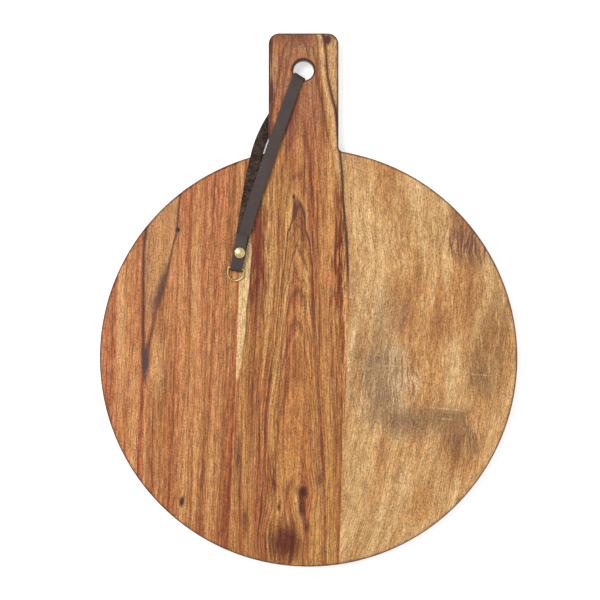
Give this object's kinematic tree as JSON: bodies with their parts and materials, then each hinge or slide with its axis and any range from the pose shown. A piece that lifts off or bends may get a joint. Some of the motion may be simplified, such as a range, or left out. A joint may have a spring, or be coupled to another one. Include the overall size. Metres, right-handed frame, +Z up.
{
  "type": "pizza serving board",
  "caption": "Round wooden pizza serving board of edge-glued staves with a short wide handle, a hanging hole and a riveted leather strap that carries a brass D-ring.",
  "frame": {"origin": "middle of the board's length and of the disc's width, at the level of the strap's underside where it lies under the handle, which is the lowest point", "axes": "+X to the right, +Y along the handle towards its tip, +Z up out of the serving face"},
  "size_m": [0.355, 0.4532, 0.0244],
  "materials": {
    "acacia_left": "oiled, satin, warm red-brown",
    "acacia_centre": "oiled, satin, dark red-brown",
    "acacia_right": "oiled, satin, golden tan",
    "leather": "matte, smooth face, rough back",
    "brass": "polished"
  },
  "bodies": {
    "board": {"left_stave": "acacia_left", "centre_stave": "acacia_centre", "right_stave": "acacia_right"},
    "strap": {"strap": "leather", "rivet_cap": "brass", "rivet_post": "brass"},
    "ring": {"d_ring": "brass"}
  },
  "joints": [
    {"name": "strap_swing", "type": "hinge", "parent": "board", "child": "strap", "pos_m": [-0.0043, 0.19525, 0.0093], "axis": [0, 0, -1], "range_deg": [0, 160]},
    {"name": "ring_swing", "type": "hinge", "parent": "strap", "child": "ring", "pos_m": [-0.06123, 0.02685, 0.0197], "axis": [-0.9848, 0.1736, 0], "range_deg": [0, 150]}
  ]
}
